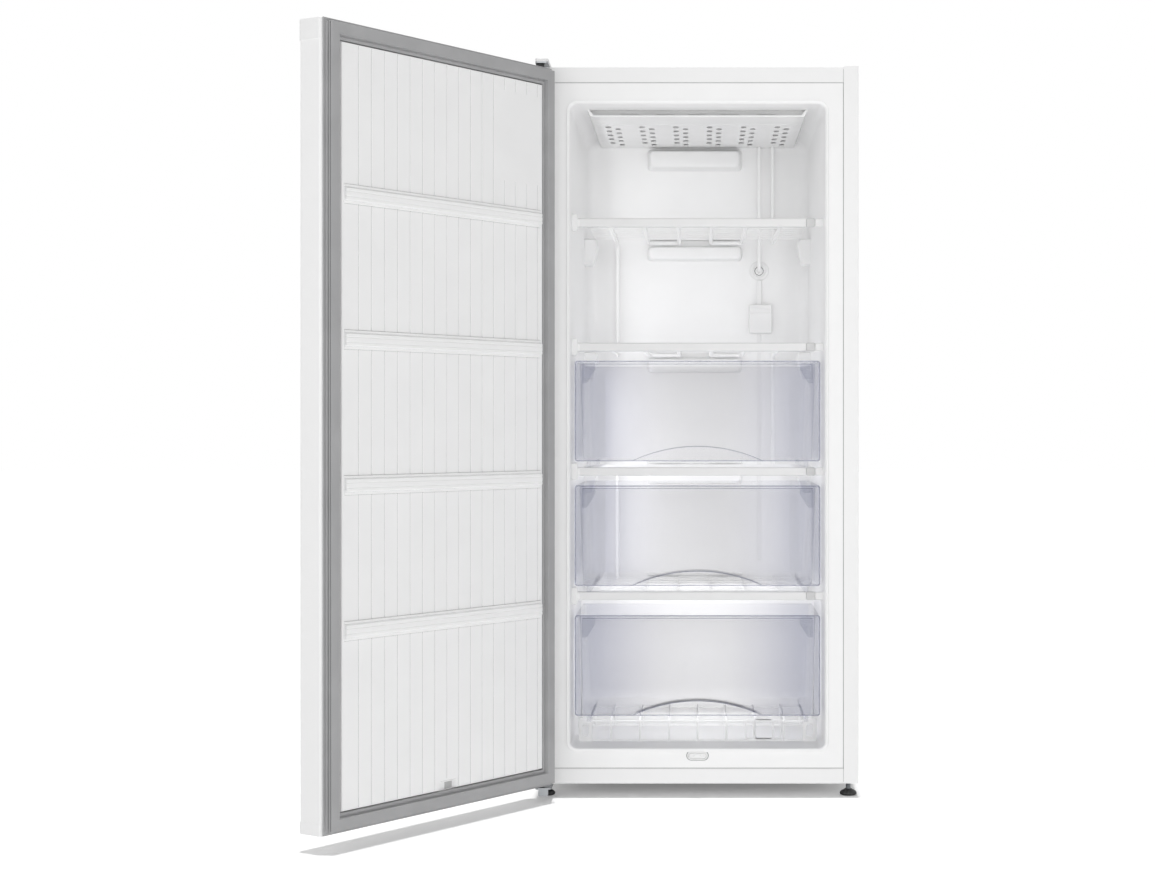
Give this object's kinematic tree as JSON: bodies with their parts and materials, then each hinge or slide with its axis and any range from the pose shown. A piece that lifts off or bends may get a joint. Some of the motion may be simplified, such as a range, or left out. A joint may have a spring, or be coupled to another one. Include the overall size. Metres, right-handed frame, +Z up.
{
  "type": "upright freezer",
  "caption": "Tall white freezer with a full-height door on side hinges, tube-coil shelves, clear drawers with finger scoops and a slotted ceiling cover.",
  "frame": {"origin": "on the floor, under the centre of the cabinet's footprint, measured over the body without the door", "axes": "+X to the right seen from the front, -Y out of the front towards the viewer, +Z up"},
  "size_m": [0.946, 1.1256, 1.369],
  "materials": {
    "white_steel": "gloss",
    "white_liner": "gloss",
    "white_caps": "satin",
    "grey_clips": "satin",
    "white_bars": "gloss",
    "white_tube": "satin",
    "coated_wire": "satin",
    "clear_drawer": "gloss",
    "grey_gasket": "matte",
    "magnet_strip": "matte",
    "foam": "matte",
    "zinc_steel": "satin",
    "hinge_steel": "satin",
    "evaporator_plate": "satin",
    "dark_plastic": "matte",
    "black_shell": "gloss",
    "rubber_mounts": "matte",
    "copper_tube": "satin"
  },
  "bodies": {
    "cabinet": {"back_panel": "zinc_steel", "bottom_pan": "zinc_steel", "ceiling_cover": "white_caps", "ceiling_evaporator": "evaporator_plate", "compressor": "black_shell", "compressor_carrier": "zinc_steel", "compressor_mounts": "rubber_mounts", "condenser_tubes": "copper_tube", "cord_gland": "dark_plastic", "drain_spout": "white_caps", "filter_dryer": "copper_tube", "floor_rack": "coated_wire", "hinge_bracket_bottom": "hinge_steel", "hinge_bracket_top": "hinge_steel", "hinge_cover": "white_caps", "hinge_pins": "zinc_steel", "hinge_screws": "zinc_steel", "inner_liner": "white_liner", "insulation_foam": "foam", "leg_bushes": "dark_plastic", "machine_pipes": "copper_tube", "pipe_grommet": "white_caps", "relay_cover": "dark_plastic", "riser_tubes": "white_tube", "roller_axles": "zinc_steel", "roller_forks": "zinc_steel", "sensor_housing": "white_caps", "shelf_clips_left": "white_caps", "shelf_clips_right": "grey_clips", "shelf_coil_1": "white_tube", "shelf_coil_2": "white_tube", "shelf_coil_3": "white_tube", "shelf_coil_4": "white_tube", "shelf_rail_1": "white_bars", "shelf_rail_2": "white_bars", "shelf_rail_3": "white_bars", "shelf_rail_4": "white_bars", "side_panel_left": "white_steel", "side_panel_right": "white_steel", "suction_line": "white_tube", "supply_tube": "white_tube", "top_panel": "white_steel"},
    "door": {"door_outer_panel": "white_steel", "door_top_cap": "white_caps", "door_bottom_cap": "white_caps", "door_insulation": "foam", "door_liner": "white_liner", "door_gasket": "grey_gasket", "gasket_magnets": "magnet_strip", "door_handle_cup": "white_caps", "door_hinge_bushes": "dark_plastic"},
    "drawer_1": {"drawer_1": "clear_drawer"},
    "drawer_2": {"drawer_2": "clear_drawer"},
    "drawer_3": {"drawer_3": "clear_drawer"},
    "drain_plug": {"drain_plug": "white_caps"},
    "foot_left": {"foot_left": "dark_plastic"},
    "foot_right": {"foot_right": "dark_plastic"},
    "roller_left": {"roller_left": "dark_plastic"},
    "roller_right": {"roller_right": "dark_plastic"}
  },
  "joints": [
    {"name": "door_hinge", "type": "hinge", "parent": "cabinet", "child": "door", "pos_m": [-0.2905, -0.329, 0.69], "axis": [0, 0, -1], "range_deg": [-124, 11]},
    {"name": "drawer_1_slide", "type": "slide", "parent": "cabinet", "child": "drawer_1", "axis": [0, -1, 0], "range_m": [0, 0.3]},
    {"name": "drawer_2_slide", "type": "slide", "parent": "cabinet", "child": "drawer_2", "axis": [0, -1, 0], "range_m": [0, 0.3]},
    {"name": "drawer_3_slide", "type": "slide", "parent": "cabinet", "child": "drawer_3", "axis": [0, -1, 0], "range_m": [0, 0.2]},
    {"name": "drain_plug_slide", "type": "slide", "parent": "cabinet", "child": "drain_plug", "axis": [0, -1, 0], "range_m": [0, 0.025]},
    {"name": "foot_left_turn", "type": "hinge", "parent": "cabinet", "child": "foot_left", "pos_m": [-0.283, -0.263, 0.02], "axis": [0, 0, 1], "range_deg": [-720, 720]},
    {"name": "foot_right_turn", "type": "hinge", "parent": "cabinet", "child": "foot_right", "pos_m": [0.283, -0.263, 0.02], "axis": [0, 0, 1], "range_deg": [-720, 720]},
    {"name": "roller_left_spin", "type": "hinge", "parent": "cabinet", "child": "roller_left", "pos_m": [-0.262, 0.253, 0.019], "axis": [1, 0, 0], "continuous": true},
    {"name": "roller_right_spin", "type": "hinge", "parent": "cabinet", "child": "roller_right", "pos_m": [0.262, 0.253, 0.019], "axis": [1, 0, 0], "continuous": true}
  ]
}
